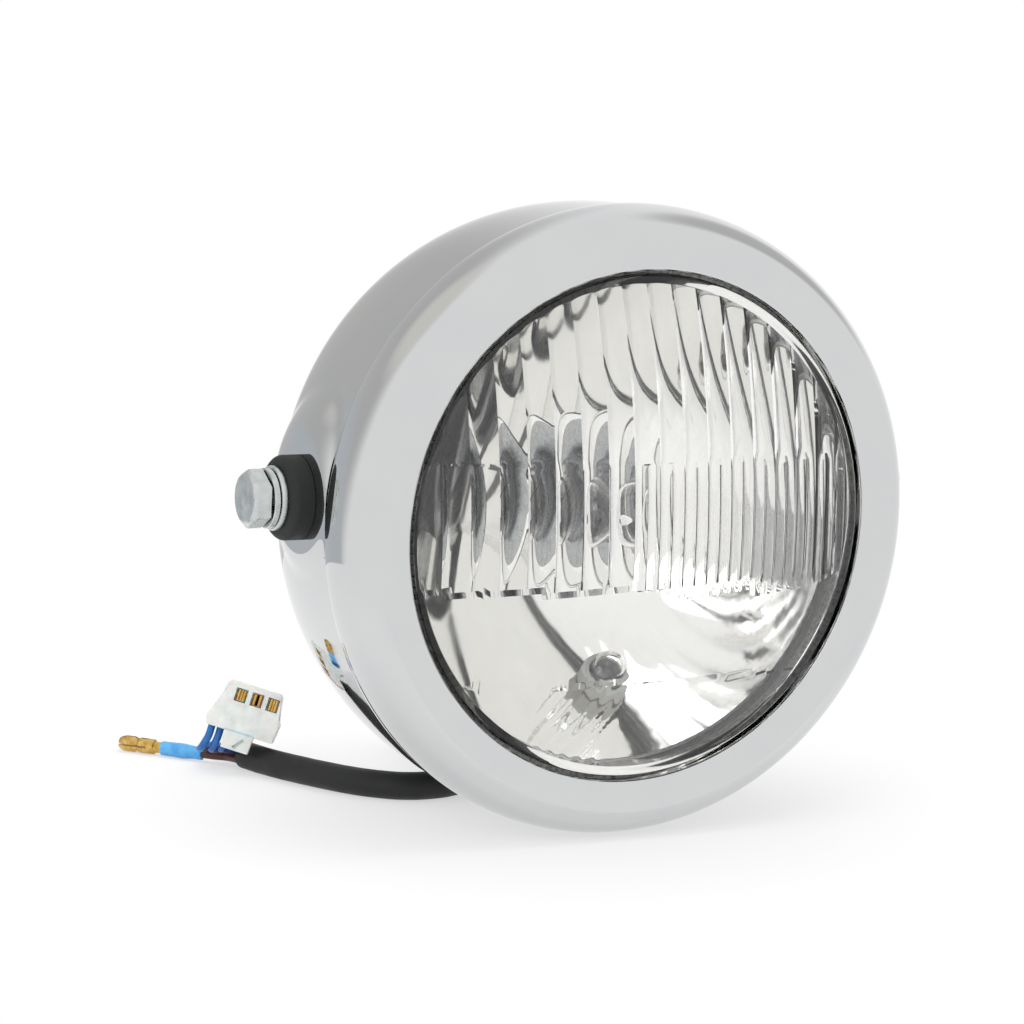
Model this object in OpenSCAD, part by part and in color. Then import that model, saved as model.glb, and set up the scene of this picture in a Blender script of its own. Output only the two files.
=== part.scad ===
// Round chrome motorcycle headlight with a fluted glass lens and its wiring tail.
// The origin is the middle of the line through the two side bolts, about which the lamp is aimed.
// +X is to the right seen from in front, +Y runs to the back, +Z is up: the lens faces -Y.

/* [Lamp] */
// Radius of the round opening in the rim
opening_r = 64; // [62:0.5:66]
// Largest radius of the rim
rim_r = 79.5; // [79:0.1:80]
// Distance that the opening lies in front of the bolt line
bolt_behind_face = 33; // [30:0.5:36]
// Height of the bolt line above the middle of the lens
bolt_above_axis = 5; // [0:0.5:8]
// Depth of the bucket behind the rim's back edge
bucket_depth = 64; // [60:1:70]
// Thickness of the pressed sheet steel
sheet = 0.9; // [0.8:0.1:1.2]

/* [Lens] */
// Height of the middle of the glass in front of the opening
lens_rise = 10; // [6:0.5:12]
// Radius of the glass dome
dome_r = 190; // [170:5:220]
// Thickness of the glass between the flutes
glass = 3.4; // [3:0.1:4]
// Width of one wide flute
flute = 6.9; // [6:0.1:8]
// Height of a wide flute's crest
flute_rise = 0.7; // [0.4:0.1:0.9]
// Height of the lower edge of the fluted field above the lens axis
field_low = -14.2; // [-18:0.1:-10]
// Height of the upper edge of the middle band
band_top = 17; // [12:0.5:22]

/* [Side mounts] */
// Distance of each flat boss from the middle plane
boss_x = 79; // [78.8:0.1:79.4]
// Outer radius of the rubber collar
collar_r = 10.5; // [9.5:0.1:11]
// Length of the rubber collar
collar_l = 6; // [5:0.5:8]
// Width across flats of the M8 bolt's head
head_af = 13; // [12:1:14]

/* [Wiring tail] */
// Outer diameter of the black sleeve
sleeve_d = 7.4; // [6.6:0.2:7.4]
// Outer diameter of one wire
wire_d = 2.4; // [2:0.1:2.6]
// Diameter of the brass bullet
bullet_d = 4.3; // [4:0.1:4.5]

/* [Hidden] */
$fn = 96;

// Depths below are measured backwards from the plane of the rim's opening.
rim_back = 17.2;
rim_widest = 12.5;
crease_r = 71.84;
crease_d = -1.4;
lip_back = 5.5;
spigot_front = 10;
spigot_r = rim_r - 1.5;
bucket_r = rim_r - 1.1;
bucket_power = 3.5;

// Glass: a side wall rises from a foot that is bonded in the reflector's channel.
dome_mid = dome_r - lens_rise;
lens_wall_r = 63.2;
lens_foot_r = 66.6;
foot_front = 7;
foot_back = 10.2;
field_r = 60.2;
hollow_r = 165;
lens_turn = -1.75;
low_line = -38;
low_step = 0.25;
rib = 3.6;

// Paraboloid mirror.
focal = 21.6;
mirror_back = 51.6;
mirror_r = sqrt((mirror_back - foot_back) * 4 * focal);
mirror_t = 0.8;
neck_r = 22;
neck_back = 55;
flange_r = 69.8;
flange_front = 6;

// Bulb, on the lamp axis.
cap_r = 21.5;
cap_front = neck_back + mirror_t;
cap_back = cap_front + 1.2;
ferrule_r = 11;
ferrule_front = 45;
capsule_r = 8.5;
capsule_t = 0.9;
capsule_front = 14;

// Small parking bulb low in the mirror, square to the mirror's surface.
parking_x = 5;
parking_drop = 45;
parking_r = sqrt(parking_x * parking_x + parking_drop * parking_drop);
parking_d = mirror_back - parking_r * parking_r / (4 * focal);
parking_tilt = atan(parking_r / (2 * focal));
parking_side = atan(parking_x / parking_drop);
parking_hole_r = 5.2;

// Bolt stack, measured outwards from the boss.
washer_t = 1.6;
spring_t = 2;
head_h = 4.8;
bolt_r = 4;
clear_r = 4.3;
washer_at = collar_l;
spring_at = washer_at + washer_t;
head_at = spring_at + spring_t;
nut_h = 6.5;
flare_r = 30;
flare_l = 10.5;
flare_top_r = 13.5;
flare_power = 1.6;

// Cable exit, low in the back of the bucket, square to its wall.
exit_drop = 40;
exit_z = -bolt_above_axis - exit_drop;
exit_y = bucket_y(exit_drop) - bolt_behind_face;
exit_tilt = 9.25;
function along_exit(out) = [0, exit_y + out * cos(exit_tilt), exit_z - out * sin(exit_tilt)];
exit_hole_r = 6;
grommet_out = 2.6;

floor_z = -bolt_above_axis - rim_r;
sleeve_r = sleeve_d / 2;
wire_r = wire_d / 2;
on_floor = floor_z + sleeve_r;

// Middle line of the black sleeve: out of the grommet, down behind the bucket and along the floor.
sleeve_route = [
    along_exit(grommet_out), along_exit(8.4), [0, 62.5, -47.7], [-0.5, 68.2, -49.8], [-1.5, 72.6, -53.5],
    [-2.7, 75.5, -58.4], [-4, 76.5, -64.1], [-5.5, 75.5, -69.8], [-7, 72.6, -74.9],
    [-8.3, 68, -78.7], [-9.4, 60.5, on_floor], [-10, 52, on_floor], [-10.3, 44, on_floor],
    [-11, 37, on_floor], [-13, 30.3, on_floor], [-17, 25, on_floor], [-23, 21.5, on_floor],
    [-30, 20.4, on_floor], [-37, 22, on_floor], [-43, 26.6, on_floor], [-47.8, 32.6, on_floor],
    [-51.6, 39, on_floor], [-55, 45.6, on_floor], [-58, 52.2, on_floor], [-60.4, 58.8, on_floor],
    [-62, 65, on_floor]];

// Places on the sleeve's flat end: to its right, up, and out of the mouth.
mouth_dir = unit(sleeve_route[25] - sleeve_route[24]);
function mouth(right, up, out) = sleeve_route[25] + right * [mouth_dir[1], -mouth_dir[0], 0]
    + [0, 0, up] + out * mouth_dir;

// Middle line of the brown wire, from the sleeve's mouth to the bullet's crimp.
brown_z = floor_z + bullet_d / 2;
brown_route = [mouth(-1.65, -1.2, 0), mouth(-1.65, -1.2, 2.5), [-65.2, 71, -82.35],
    [-67.8, 73.1, brown_z], [-70, 75.6, brown_z]];
bullet_turn = atan2(17.8, -15.7);
crimp_l = 12.2;
bullet_l = 12.6;

// Middle lines of the three blue wires: out of the sleeve's mouth, round and up into the plug's foot.
blue_routes = [
    [mouth(1.14, -1.6, 0), mouth(1.14, -1.6, 2.2), [-61.8, 69.8, -82.3], [-64.2, 73.6, -81],
     [-67.4, 74.3, -79.8], [-70.6, 72.9, -79.8], [-73.2, 69.8, -79.4], [-73.6, 67.2, -77.8],
     [-72.62, 65.86, -74.97], [-71.656, 66.03, -72.135]],
    [mouth(1.46, 0.9, 0), mouth(1.46, 0.9, 2), [-62, 69, -79.7], [-64.4, 70.3, -79.6],
     [-68, 70.6, -79.7], [-70.6, 68.4, -79.4], [-71.2, 66, -78], [-70.625, 64.656, -75.57],
     [-69.665, 64.83, -72.735]],
    [mouth(-1.02, 1.5, 0), mouth(-1.02, 1.5, 1.5), [-64.2, 67.5, -79.4], [-65.8, 68.1, -79.4],
     [-67.7, 67.6, -79.3], [-68.9, 65.8, -78.6], [-68.634, 63.456, -76.17], [-67.674, 63.63, -73.335]]];

// The three-way plug hangs clear of the floor on its stiff wires, beside the sleeve's mouth.
plug_at = [-65.7, 55.9, -78.5];
plug_yaw = -28;
plug_lean = -12;
plug_roll = 14.8;
plug_t = 7;
foot_y = 4.7;
tab_t = 2.5;
tab_right = 3.6;
plug_outline = [[8.9, foot_y], [9.4, 10], [8.4, 11.2], [7.9, 17.2], [7.3, 17.9], [-6.2, 17.9],
    [-6.9, 17.2], [-7.5, 12.8], [-10, 7.2], [-9.4, foot_y]];
terminal_u = [-2.7, 1.7, 6.1];
terminal_w = 14.5;

// Depth of the bucket's back at a radius.
function bucket_y(r) = rim_back + bucket_depth * pow(1 - pow(r / bucket_r, bucket_power), 1 / bucket_power);

// Outline of the bucket from its mouth to its pole; the points crowd where it turns.
function bucket_arc(r0, depth, steps = 36) = [for (i = [1 : steps]) let (a = 90 * i / steps)
    [r0 * pow(cos(a), 2 / bucket_power), rim_back + depth * pow(sin(a), 2 / bucket_power)]];

// The rim's rounded side, a quarter of an ellipse from the crease to the widest ring.
function rim_side(inset, steps = 16) = [for (i = [0 : steps]) let (a = 90 * i / steps)
    [crease_r + (rim_r - crease_r - inset) * sin(a),
     rim_widest - (rim_widest - crease_d - inset) * cos(a)]];

// Depth of the inner face of the rim's front at a radius.
function rim_inside(r) = 0.65 + (r - opening_r - sheet) * (crease_d + sheet - 0.65)
    / (crease_r - opening_r - sheet);

// Depth of the mirror at a radius, and its wall's outline.
function mirror_d(r) = mirror_back - r * r / (4 * focal);
function mirror_curve(extra, steps = 20) = [for (i = [0 : steps])
    let (r = mirror_r - (mirror_r - neck_r) * i / steps) [r + extra, mirror_d(r) + extra * 0.9]];

// Height of a flute's crest over the glass at a distance across the lens.
function crest(x, pitch, rise) = let (u = x / pitch - floor(x / pitch)) rise * 4 * u * (1 - u);

// Half section of the hollow behind the flutes, as distance from the X axis and place on it.
function hollow(pitch, rise, low, high, steps) = concat([[hollow_r, high], [hollow_r, low]],
    [for (i = [0 : steps])
        let (x = low + (high - low) * i / steps, q = dome_r - glass - crest(x, pitch, rise))
        [sqrt(q * q - x * x), x]]);

// A tube swept along a route: rings square to the path, carried along without twist.
function unit(v) = v / norm(v);
function heading(p, i) = unit(p[min(i + 1, len(p) - 1)] - p[max(i - 1, 0)]);
function level(n, t) = unit(n - (n * t) * t);
function carried(p, n, i = 0) = i == len(p) ? [] :
    let (m = level(n, heading(p, i))) concat([m], carried(p, m, i + 1));
function ring(c, t, m, r, sides) = [for (k = [0 : sides - 1]) let (a = 360 * k / sides)
    c + r * (cos(a) * m + sin(a) * cross(t, m))];

module tube(route, r, sides, start) {
    side_dir = carried(route, start);
    last = len(route) - 1;
    rings = [for (i = [0 : last]) each ring(route[i], heading(route, i), side_dir[i], r, sides)];
    walls = [for (i = [0 : last - 1], k = [0 : sides - 1]) let (j = (k + 1) % sides)
        [i * sides + k, (i + 1) * sides + k, (i + 1) * sides + j, i * sides + j]];
    first_cap = [[for (k = [0 : sides - 1]) k]];
    last_cap = [[for (k = [sides - 1 : -1 : 0]) last * sides + k]];
    polyhedron(points = rings, faces = concat(walls, first_cap, last_cap));
}

// Lamp frame: x to the right, y down, z backwards from the opening.
module at_lamp() translate([0, -bolt_behind_face, -bolt_above_axis]) rotate([-90, 0, 0]) children();

// Side frame: z points outwards from the boss of one side.
module at_side(side) translate([side * boss_x, 0, 0]) rotate([0, 90 * side, 0]) children();

// Frame of the parking bulb: z points into the lamp, square to the mirror.
module at_parking() rotate([0, 0, -parking_side]) translate([0, parking_r, parking_d])
    rotate([180 - parking_tilt, 0, 0]) children();

// Frame of the cable exit: z points out through the wall.
module at_exit() translate([0, exit_y, exit_z]) rotate([-90 - exit_tilt, 0, 0]) children();

module bolt_hole(r) for (side = [-1, 1]) at_side(side) translate([0, 0, -5]) cylinder(h = 8, r = r);

// The flat boss swells out of the bucket in a hollow curve, which ends at the bucket's mouth.
function flare_curve(steps = 12) = [for (i = [0 : steps])
    [flare_top_r + (flare_r - flare_top_r) * i / steps, -flare_l * pow(i / steps, flare_power)]];

module flares(inset) intersection() {
    for (side = [-1, 1]) at_side(side) translate([0, 0, -inset])
        rotate_extrude() polygon(concat([[0, -flare_l], [0, 0]], flare_curve()));
    translate([-90, rim_back - bolt_behind_face, -40]) cube([180, 60, 80]);
}

// Cone and shank of the countersunk rim screw, straight down from the lamp axis.
module rim_screw_form(extra) rotate([-90, 0, 0]) {
    translate([0, 0, rim_r - 2.3]) cylinder(h = 2, r1 = 2 + extra, r2 = 4 + extra);
    translate([0, 0, rim_r - 10]) cylinder(h = 8, r = 2 + extra);
}

module shell() color("gainsboro") difference() {
    union() {
        at_lamp() rotate_extrude() polygon(concat([[0, rim_back], [spigot_r - sheet, rim_back]],
            [[spigot_r - sheet, spigot_front], [spigot_r, spigot_front], [spigot_r, rim_back]],
            bucket_arc(bucket_r, bucket_depth)));
        flares(0);
    }
    at_lamp() rotate_extrude() polygon(concat([[0, rim_back - 1], [spigot_r - sheet, rim_back - 1]],
        bucket_arc(bucket_r - 1, bucket_depth - 1)));
    flares(1);
    bolt_hole(clear_r);
    at_exit() translate([0, 0, -6]) cylinder(h = 12, r = exit_hole_r);
    at_lamp() translate([0, 0, rim_widest + 1]) rim_screw_form(0.15);
}

module rim() color("whitesmoke") at_lamp() difference() {
    rotate_extrude() polygon(concat([[opening_r, lip_back], [opening_r, 0.5], [opening_r + 0.4, 0]],
        rim_side(0), [[rim_r - 0.15, 14.6], [rim_r - 0.6, rim_back]],
        [[spigot_r, rim_back], [spigot_r, 15.6]], [for (i = [16 : -1 : 0]) rim_side(sheet)[i]],
        [[opening_r + sheet, rim_inside(opening_r + sheet)], [opening_r + sheet, lip_back]]));
    translate([0, 0, rim_widest + 1]) rim_screw_form(0.15);
}

// Tab welded inside the top of the rim, hooked under the bucket's mouth.
module rim_hook() color("silver") at_lamp() rotate([0, 0, -94])
    rotate_extrude(angle = 8) polygon([[75.8, 7.2], [77.85, 7.2], [78.1, 8.8], [76.9, 8.8],
        [76.9, 15], [75.8, 15]]);

module rim_screw() color("silver") at_lamp() translate([0, 0, rim_widest + 1]) difference() {
    rim_screw_form(0);
    translate([0, rim_r, 0]) cube([5.4, 1.8, 0.9], center = true);
    translate([0, rim_r, 0]) cube([0.9, 1.8, 5.4], center = true);
}

module rim_nut() color("silver") at_lamp() difference() {
    translate([-6, spigot_r - sheet - 3.6, rim_widest - 2.5]) cube([12, 3.3, 7]);
    translate([0, 0, rim_widest + 1]) rotate([-90, 0, 0]) translate([0, 0, 70]) cylinder(h = 9, r = 2.02);
}

// Hollow behind a field of flutes: the flutes run up and down and bend with the glass.
module fluted_hollow(pitch, rise, left, right, steps) rotate([0, 0, lens_turn])
    translate([0, 0, dome_mid]) rotate([0, 90, 0]) rotate([0, 0, -21]) rotate_extrude(angle = 42)
    polygon(hollow(pitch, rise, left, right, steps));

// Hollow behind glass without flutes.
module plain_hollow(extra) translate([0, 0, dome_mid]) sphere(r = dome_r - glass - extra, $fn = 240);

// One zone of the lens, between two heights and two sides.
module zone(high, low, left, right) intersection() {
    children();
    translate([0, 0, -20]) cylinder(h = 40, r = field_r);
    translate([left, -high, -20]) cube([right - left, high - low, 40]);
}

// Domed glass with a side wall and a foot. Its hollow is fluted in three zones and plain below,
// with a thicker bottom part that has a patch of slanted ribs.
module lens() color([0.86, 0.9, 0.88, 0.45]) at_lamp() difference() {
    intersection() {
        translate([0, 0, dome_mid]) sphere(r = dome_r, $fn = 240);
        rotate_extrude() polygon([[0, -20], [field_r, -20], [lens_wall_r - 2.4, -2],
            [lens_wall_r - 1.3, 0.9], [lens_wall_r - 0.4, 2.4], [lens_wall_r, 4.2], [lens_wall_r, foot_front],
            [lens_foot_r, foot_front], [lens_foot_r, foot_back], [0, foot_back]]);
    }
    zone(65, band_top, -65, 65) fluted_hollow(flute, flute_rise, -63, 63, 72);
    zone(band_top, field_low, -65, -flute) fluted_hollow(flute, flute_rise * 1.25, -63, 0, 36);
    zone(band_top, field_low, -flute, 65) fluted_hollow(flute / 2, flute_rise * 0.55, -flute, 63, 80);
    zone(field_low, low_line, -65, 65) plain_hollow(0);
    zone(low_line, -65, -65, 65) plain_hollow(low_step);
    zone(low_line, -65, -27, -7) rotate([0, 0, 37]) fluted_hollow(rib, low_step * 0.9, 0, rib * 9, 36);
}

module lens_seal() color("dimgray") at_lamp() rotate_extrude() polygon([
    [opening_r + 1.2, rim_inside(opening_r + 1.2)], [opening_r + 5.2, rim_inside(opening_r + 5.2)],
    [opening_r + 5.2, flange_front], [opening_r + 1.2, flange_front]]);

module lens_sealant() color("gray") at_lamp() rotate_extrude() polygon([
    [lens_wall_r, foot_front - 1], [lens_foot_r + 0.2, foot_front - 1], [lens_foot_r + 0.2, foot_back],
    [lens_foot_r, foot_back], [lens_foot_r, foot_front], [lens_wall_r, foot_front]]);

module reflector() color("silver") at_lamp() difference() {
    rotate_extrude() polygon(concat(
        [[flange_r, flange_front], [lens_foot_r + 0.2, flange_front], [lens_foot_r + 0.2, foot_back]],
        mirror_curve(0),
        [[neck_r, neck_back], [cap_r - 2.3, neck_back], [cap_r - 2.3, cap_front],
         [neck_r + mirror_t, cap_front]],
        [for (i = [20 : -1 : 0]) mirror_curve(mirror_t)[i]],
        [[lens_foot_r + 0.2 + mirror_t, foot_back + mirror_t],
         [lens_foot_r + 0.2 + mirror_t, flange_front + mirror_t], [flange_r, flange_front + mirror_t]]));
    at_parking() translate([0, 0, -6]) cylinder(h = 12, r = parking_hole_r);
}

// Four spring strips between the mirror's flange and the rim.
module unit_clips() color("silver") at_lamp() for (a = [45 : 90 : 315]) rotate([0, 0, a])
    translate([67.9, -5, flange_front + mirror_t]) cube([9.9, 10, 0.8]);

module bulb_glass() color([0.9, 0.95, 1, 0.4]) at_lamp() rotate_extrude() polygon(concat(
    [for (i = [0 : 10]) let (a = 9 * i) [capsule_r * sin(a), capsule_front + capsule_r * (1 - cos(a))]],
    [[capsule_r, ferrule_front + 2], [capsule_r - capsule_t, ferrule_front + 2]],
    [for (i = [10 : -1 : 0]) let (a = 9 * i, r = capsule_r - capsule_t)
        [r * sin(a), capsule_front + capsule_t + r * (1 - cos(a))]]));

module bulb_filament() color("dimgray") at_lamp() {
    for (y = [-3.2, 3.2]) translate([0, y, 24]) cylinder(h = ferrule_front + 2 - 24, r = 0.6, $fn = 24);
    translate([0, -3.2, 24.4]) rotate([-90, 0, 0]) cylinder(h = 6.4, r = 0.5, $fn = 24);
    difference() {
        translate([0, 3.2, 24]) cylinder(h = 9, r = 3.4, $fn = 32);
        translate([0, 3.2, 23]) cylinder(h = 9, r = 2.8, $fn = 32);
        translate([-4, -1, 22]) cube([8, 4.2, 9]);
    }
}

// Drawn-off tip of clear glass on the capsule's nose.
module bulb_tip() color([0.9, 0.95, 1, 0.4]) at_lamp() rotate_extrude() polygon([[0, capsule_front - 1.4],
    [0.8, capsule_front - 1.2], [1.2, capsule_front - 0.6],
    [capsule_r * sin(9), capsule_front + capsule_r * (1 - cos(9))], [0, capsule_front]]);

module bulb_cap() color("silver") at_lamp() {
    rotate_extrude() polygon([[0, ferrule_front + 2], [capsule_r, ferrule_front + 2],
        [capsule_r, ferrule_front], [ferrule_r, ferrule_front], [ferrule_r, cap_front],
        [cap_r, cap_front], [cap_r, cap_back], [10, cap_back], [10, 65], [0, 65]]);
    for (a = [0 : 120 : 240]) rotate([0, 0, a]) translate([-3, 6, 64.5]) cube([6, 0.8, 8]);
}

module bulb_spring() color("silver") at_lamp() {
    translate([0, 0, cap_back + 0.8]) rotate_extrude() translate([17, 0]) circle(r = 0.8, $fn = 24);
    for (side = [-1, 1]) translate([side * 17, 0, cap_back + 0.8]) rotate([0, 90 * side, 0])
        cylinder(h = 5.6, r = 0.8, $fn = 24);
}

module bulb_connector() color([0.12, 0.12, 0.13]) at_lamp() difference() {
    translate([-9, -9, 66]) cube([18, 18, 11]);
    for (a = [0 : 120 : 240]) rotate([0, 0, a]) translate([-3.2, 5.8, 65]) cube([6.4, 1.2, 8]);
}

module dust_boot() color([0.1, 0.1, 0.1]) at_lamp() rotate_extrude() polygon([
    [neck_r + mirror_t, 50], [neck_r + 2.6, 50], [neck_r + 2.6, 60.5], [15, 64.5], [15, 69],
    [13, 69], [13, 63.2], [neck_r + mirror_t, 59.2]]);

module parking_holder() color("ghostwhite") at_lamp() at_parking() difference() {
    union() {
        translate([0, 0, -2]) cylinder(h = 8, r = parking_hole_r);
        translate([0, 0, 0.6]) cylinder(h = 4.4, r = 6.2);
        translate([0, 0, -7]) cylinder(h = 5.6, r = 7);
    }
    translate([0, 0, 1]) cylinder(h = 6, r = 4.4);
}

module parking_bulb() color([0.9, 0.92, 0.9, 0.5]) at_lamp() at_parking() {
    translate([0, 0, 1]) cylinder(h = 7, r = 4.1);
    translate([0, 0, 8]) sphere(r = 4.1);
}

// Wires inside the bucket, from the bulb's connector to the grommet.
module inner_loom() color([0.15, 0.15, 0.16]) tube([[0, 39.4, -14], [0, 39.4, -22], [0, 39.4, -30],
    [0, 39.4, -37], [0, 40, -41.2], along_exit(-4.2), along_exit(grommet_out)], 3, 8, [1, 0, 0]);

module bolt(side) color([0.76, 0.77, 0.76]) at_side(side) {
    translate([0, 0, head_at]) intersection() {
        cylinder(h = head_h, r = head_af / sqrt(3), $fn = 6);
        cylinder(h = head_h, r1 = 5.8 + head_h * 1.7, r2 = 5.8);
    }
    translate([0, 0, -9]) cylinder(h = head_at + 9.5, r = bolt_r);
}

// Split spring washer.
module spring_washer(side) color([0.72, 0.73, 0.72]) at_side(side) translate([0, 0, spring_at]) difference() {
    cylinder(h = spring_t, r = 7.4);
    translate([0, 0, -1]) cylinder(h = spring_t + 2, r = 4.1);
    rotate([0, 0, 160]) translate([3, -0.4, -1]) cube([6, 0.8, spring_t + 2]);
}

module washer(side) color([0.78, 0.79, 0.78]) at_side(side) translate([0, 0, washer_at]) difference() {
    cylinder(h = washer_t, r = 8);
    translate([0, 0, -1]) cylinder(h = washer_t + 2, r = 4.2);
}

// Rubber collar that fills the bracket's hole.
module collar(side) color([0.09, 0.09, 0.09]) at_side(side) rotate_extrude() polygon([
    [clear_r, 0], [collar_r - 0.3, 0], [collar_r, 0.3], [collar_r, collar_l - 1.4],
    [collar_r - 1.4, collar_l], [clear_r, collar_l]]);

// Nut welded inside the boss.
module weld_nut(side) color("silver") at_side(side) translate([0, 0, -1 - nut_h]) difference() {
    cylinder(h = nut_h, r = head_af / sqrt(3), $fn = 6);
    translate([0, 0, -1]) cylinder(h = nut_h + 2, r = bolt_r + 0.02);
}

module grommet() color([0.08, 0.08, 0.08]) at_exit() rotate_extrude() polygon([
    [sleeve_r - 0.5, -3.4], [7.6, -3.4], [7.6, -1.6], [exit_hole_r, -1.6], [exit_hole_r, 0.5],
    [8.4, 0.5], [8.4, 1.4], [7.4, grommet_out], [sleeve_r - 0.5, grommet_out]]);

module sleeve() color([0.1, 0.1, 0.1]) tube(sleeve_route, sleeve_r, 12, [1, 0, 0]);

module brown_wire() color([0.35, 0.2, 0.15]) tube(brown_route, wire_r, 8, [0, 0, 1]);

// Frame of the bullet: z points from the wire to the tip.
module at_bullet() translate(brown_route[4]) rotate([0, 0, bullet_turn]) rotate([0, 90, 0]) children();

module crimp_sleeve() color([0.36, 0.68, 0.9]) at_bullet() rotate_extrude() polygon([
    [0, 0], [1.75, 0], [1.75, 3.4], [2.1, 6], [1.9, 8], [1.9, crimp_l], [0, crimp_l]]);

// Brass bullet with a ring groove and two crossed slots in its tip.
module bullet() color([0.78, 0.62, 0.32]) at_bullet() translate([0, 0, crimp_l]) difference() {
    rotate_extrude() polygon([[0, 0], [1.5, 0], [1.5, 1.8], [bullet_d / 2 - 0.1, 2.2],
        [bullet_d / 2 - 0.1, 6.4], [1.8, 6.9], [1.8, 7.4], [bullet_d / 2, 8], [bullet_d / 2, bullet_l - 1.4],
        [1.6, bullet_l], [0, bullet_l]]);
    for (a = [0, 90]) rotate([0, 0, a]) translate([-3, -0.25, 4]) cube([6, 0.5, 10]);
}

// Frame of the plug: x across it, y along it and up, z out of its broad face.
module at_plug() translate(plug_at) rotate([0, 0, plug_yaw]) rotate([90 + plug_lean, 0, 0])
    rotate([0, 0, -plug_roll]) translate([-tab_right, 0, -plug_t / 2]) children();

module blue_wire(i) color([0.12, 0.4, 0.7]) tube(blue_routes[i], wire_r - 0.2, 8, [1, 0, 0]);

// Wide body with a thin latch tab under its front, three windows and a slot in the tab.
module plug_housing() color([0.93, 0.94, 0.92]) at_plug() difference() {
    union() {
        translate([0, 0, -plug_t / 2]) linear_extrude(plug_t) polygon(plug_outline);
        translate([0, 0, plug_t / 2 - tab_t]) linear_extrude(tab_t)
            polygon([[-3.9, 0], [tab_right, 0], [3.9, foot_y], [3.9, 6], [-4.3, 6], [-4.3, foot_y]]);
    }
    for (u = terminal_u) translate([u - 1.6, terminal_w - 1.8, plug_t / 2 - 2]) cube([3.2, 3.6, 3]);
    translate([-1, 1, plug_t / 2 - 1]) rotate([0, 0, -40]) cube([0.9, 3.4, 3]);
}

// Rolled brass receptacles that show in the plug's windows.
module plug_terminals() color([0.8, 0.63, 0.3]) at_plug() for (u = terminal_u)
    translate([u, terminal_w, plug_t / 2 - 2]) {
        translate([-1.2, -1.5, 0]) cube([2.4, 3, 0.4]);
        for (side = [-1, 1]) translate([side * 0.9, 1.5, 0.8]) rotate([90, 0, 0])
            cylinder(h = 3, r = 0.5, $fn = 24);
    }

shell();
rim();
rim_hook();
rim_screw();
rim_nut();
lens();
lens_seal();
lens_sealant();
reflector();
unit_clips();
bulb_glass();
bulb_filament();
bulb_tip();
bulb_cap();
bulb_spring();
bulb_connector();
dust_boot();
parking_holder();
parking_bulb();
inner_loom();
bolt(-1);  // left_bolt
spring_washer(-1);  // left_spring_washer
washer(-1);  // left_washer
collar(-1);  // left_collar
weld_nut(-1);  // left_nut
bolt(1);  // right_bolt
spring_washer(1);  // right_spring_washer
washer(1);  // right_washer
collar(1);  // right_collar
weld_nut(1);  // right_nut
grommet();
sleeve();
brown_wire();
crimp_sleeve();
bullet();
blue_wire(0);  // blue_wire_a
blue_wire(1);  // blue_wire_b
blue_wire(2);  // blue_wire_c
plug_housing();
plug_terminals();
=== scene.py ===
"""A round chrome motorcycle headlight with a fluted lens and its wiring tail: the looks of the CAD model."""

import math

import bmesh
import bpy
from mathutils import Matrix, Vector


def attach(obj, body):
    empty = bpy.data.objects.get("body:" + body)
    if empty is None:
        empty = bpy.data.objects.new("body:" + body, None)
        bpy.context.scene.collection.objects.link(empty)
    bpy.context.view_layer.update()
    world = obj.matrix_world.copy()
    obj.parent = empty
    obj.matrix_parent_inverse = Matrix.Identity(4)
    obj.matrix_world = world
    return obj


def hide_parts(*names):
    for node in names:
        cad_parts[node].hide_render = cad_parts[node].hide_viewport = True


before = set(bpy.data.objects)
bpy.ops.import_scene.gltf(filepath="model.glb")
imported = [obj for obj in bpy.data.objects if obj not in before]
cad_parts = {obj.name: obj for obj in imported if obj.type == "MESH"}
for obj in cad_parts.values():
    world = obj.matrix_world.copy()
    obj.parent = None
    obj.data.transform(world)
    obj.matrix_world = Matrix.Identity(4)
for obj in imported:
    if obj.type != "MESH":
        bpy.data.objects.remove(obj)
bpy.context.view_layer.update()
bpy.context.scene.view_settings.view_transform = "Standard"

# --- sizes, in millimetres
# The row frame's origin is the middle of the side bolts' line; the lamp axis is 5 mm lower and the
# rim's opening 33 mm in front. Depths are measured backwards from the plane of the opening.
MM = 0.001
AXIS_Z = -5
OPENING_Y = -33
FLOOR_Z = -84.5
RIM_R = 79.5
BUCKET_R = 78.4
RIM_BACK = 17.2
BUCKET_DEPTH = 64
BUCKET_POWER = 3.5
SHEET = 0.9
DOME_R = 190
DOME_MID = 180
GLASS = 3.4
FIELD_R = 60.2
FOCAL = 21.6
MIRROR_BACK = 51.6
BOSS_X = 79
BOSS_LENGTH = 33
FRONT_REACH = 15.4
HOLE_R = 4.3
CREASE_R = 71.84
CAPSULE_R = 8.5
CAPSULE_NOSE = 14

LAMP = Matrix.Translation((0, OPENING_Y, AXIS_Z)) @ Matrix.Rotation(math.radians(-90), 4, "X")


def side_frame(side):
    """The frame of one side mount: its Z points outwards from the boss."""
    return Matrix.Translation((side * BOSS_X, 0, 0)) @ Matrix.Rotation(math.radians(90 * side), 4, "Y")


# --- camera
def photo_camera():
    """A long lens from the front left, a little above the lamp, as the photograph was taken."""
    camera = bpy.data.objects.new("camera", bpy.data.cameras.new("camera"))
    bpy.context.scene.collection.objects.link(camera)
    right = Vector((0.88630379, -0.46069705, 0.04715742))
    up = Vector((0.03237382, 0.16321581, 0.98605909))
    back = Vector((-0.46197135, -0.87242125, 0.15957331))
    turn = Matrix((right, up, back)).transposed().to_4x4()
    camera.matrix_world = Matrix.Translation(Vector((-428.758, -772.607, 135.678)) * MM) @ turn
    camera.data.sensor_width = 36
    camera.data.lens = 123.05
    camera.data.clip_end = 50
    bpy.context.scene.camera = camera


photo_camera()

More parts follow.
